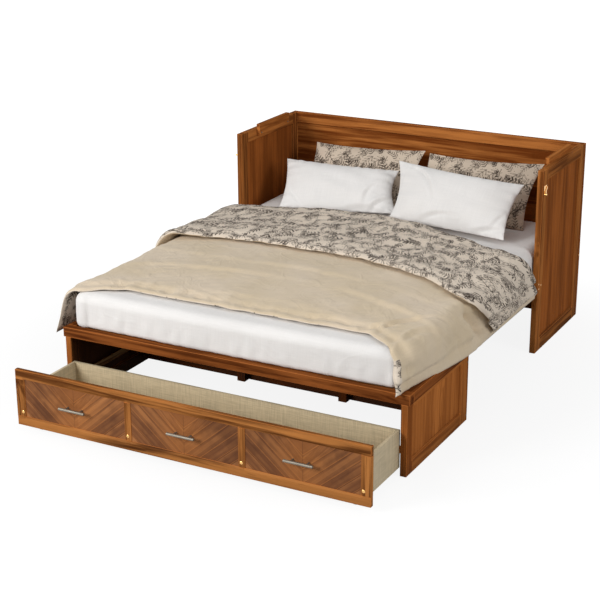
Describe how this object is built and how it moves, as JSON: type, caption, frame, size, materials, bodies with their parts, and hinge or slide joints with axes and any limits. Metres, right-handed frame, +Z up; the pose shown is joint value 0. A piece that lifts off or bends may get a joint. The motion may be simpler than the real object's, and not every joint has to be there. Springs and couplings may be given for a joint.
{
  "type": "wall bed",
  "caption": "Wall bed opened out: framed wooden cabinet, folding slatted platform, foot base with drawer on casters, mattress, duvet and pillows",
  "frame": {"origin": "on the floor below the middle of the cabinet's back face", "axes": "X to the right seen from the foot, Y towards the wall, Z up"},
  "size_m": [1.7516, 2.522, 0.934],
  "materials": {
    "caramel_wood": "stained, satin lacquer",
    "walnut_veneer": "stained veneer, satin lacquer",
    "pale_wood": "plain sanded",
    "linen_laminate": "linen-look laminate",
    "brushed_nickel": "brushed nickel plate",
    "brass": "polished brass",
    "steel": "zinc-plated steel",
    "caster_black": "black plastic",
    "mattress_sheet": "white cotton over foam",
    "white_cotton": "white cotton, filled",
    "beige_cotton": "beige cotton, filled",
    "printed_cotton": "greige printed cotton, filled"
  },
  "bodies": {
    "cabinet": {"left_side_frame": "caramel_wood", "left_side_panel": "caramel_wood", "right_side_frame": "caramel_wood", "right_side_panel": "caramel_wood", "back_frame": "caramel_wood", "back_boards": "caramel_wood", "lid_cleats": "caramel_wood", "cleat_bolts": "brushed_nickel", "cabinet_bolts": "brass", "latch_plates": "brass", "head_ledgers": "pale_wood", "head_deck_frame": "pale_wood", "head_slats": "pale_wood", "head_hinge_plates": "steel", "head_hinge_pins": "steel"},
    "latch_left": {"latch_lever_left": "brass"},
    "latch_right": {"latch_lever_right": "brass"},
    "leaf_a": {"leaf_a_frame": "caramel_wood", "leaf_a_slats": "pale_wood", "leaf_a_hinge_plates": "steel", "ridge_hinge_pins": "steel"},
    "leaf_b": {"leaf_b_frame": "caramel_wood", "leaf_b_slats": "pale_wood", "leaf_b_hinge_plates": "steel"},
    "foot_base": {"foot_hinge_plates": "steel", "foot_hinge_pins": "steel", "foot_deck_frame": "caramel_wood", "foot_slats": "pale_wood", "base_left_frame": "caramel_wood", "base_left_panel": "caramel_wood", "base_right_frame": "caramel_wood", "base_right_panel": "caramel_wood", "base_back_board": "caramel_wood", "support_legs": "caramel_wood", "drawer_guides": "pale_wood", "base_bolts": "brushed_nickel"},
    "drawer": {"drawer_front_frame": "caramel_wood", "drawer_front_panels": "walnut_veneer", "drawer_inner_front": "linen_laminate", "drawer_sides": "linen_laminate", "drawer_back": "linen_laminate", "drawer_bottom": "linen_laminate", "drawer_handles": "brushed_nickel", "drawer_studs": "brass", "caster_brackets": "caster_black", "caster_axles": "steel"},
    "caster_front_left": {"caster_wheel_front_left": "caster_black"},
    "caster_front_right": {"caster_wheel_front_right": "caster_black"},
    "caster_rear_left": {"caster_wheel_rear_left": "caster_black"},
    "caster_rear_right": {"caster_wheel_rear_right": "caster_black"},
    "bedding": {"mattress_head": "mattress_sheet", "mattress_middle": "mattress_sheet", "mattress_foot": "mattress_sheet", "duvet": "beige_cotton", "duvet_turnback": "printed_cotton", "pillow_left": "white_cotton", "pillow_right": "white_cotton", "sham_left": "printed_cotton", "sham_right": "printed_cotton"}
  },
  "joints": [
    {"name": "platform_fold", "type": "hinge", "parent": "cabinet", "child": "leaf_a", "pos_m": [0, -0.645, 0.35], "axis": [-1, 0, 0], "range_deg": [0, 90]},
    {"name": "ridge_fold", "type": "hinge", "parent": "leaf_a", "child": "leaf_b", "pos_m": [0, -1.071, 0.307], "axis": [1, 0, 0], "range_deg": [0, 180]},
    {"name": "foot_fold", "type": "hinge", "parent": "leaf_b", "child": "foot_base", "pos_m": [0, -1.497, 0.35], "axis": [-1, 0, 0], "range_deg": [0, 90]},
    {"name": "drawer_slide", "type": "slide", "parent": "foot_base", "child": "drawer", "axis": [0, 1, 0], "range_m": [0, 0.328]},
    {"name": "latch_left_swing", "type": "hinge", "parent": "cabinet", "child": "latch_left", "pos_m": [-0.8289, -0.605, 0.803], "axis": [1, 0, 0], "range_deg": [0, 110]},
    {"name": "latch_right_swing", "type": "hinge", "parent": "cabinet", "child": "latch_right", "pos_m": [0.8289, -0.605, 0.803], "axis": [1, 0, 0], "range_deg": [0, 110]},
    {"name": "bedding_lift", "type": "slide", "parent": "cabinet", "child": "bedding", "axis": [0, 0, 1], "range_m": [0, 0.71]},
    {"name": "caster_front_left_spin", "type": "hinge", "parent": "drawer", "child": "caster_front_left", "pos_m": [-0.75, -2.444, 0.014], "axis": [1, 0, 0], "continuous": true},
    {"name": "caster_front_right_spin", "type": "hinge", "parent": "drawer", "child": "caster_front_right", "pos_m": [0.75, -2.444, 0.014], "axis": [1, 0, 0], "continuous": true},
    {"name": "caster_rear_left_spin", "type": "hinge", "parent": "drawer", "child": "caster_rear_left", "pos_m": [-0.75, -2.165, 0.014], "axis": [1, 0, 0], "continuous": true},
    {"name": "caster_rear_right_spin", "type": "hinge", "parent": "drawer", "child": "caster_rear_right", "pos_m": [0.75, -2.165, 0.014], "axis": [1, 0, 0], "continuous": true}
  ],
  "couplings": [
    {"joint": "ridge_fold", "follows": "platform_fold", "ratio": 2},
    {"joint": "foot_fold", "follows": "platform_fold", "ratio": 1},
    {"joint": "bedding_lift", "follows": "platform_fold", "m_per_rad": 0.45}
  ]
}
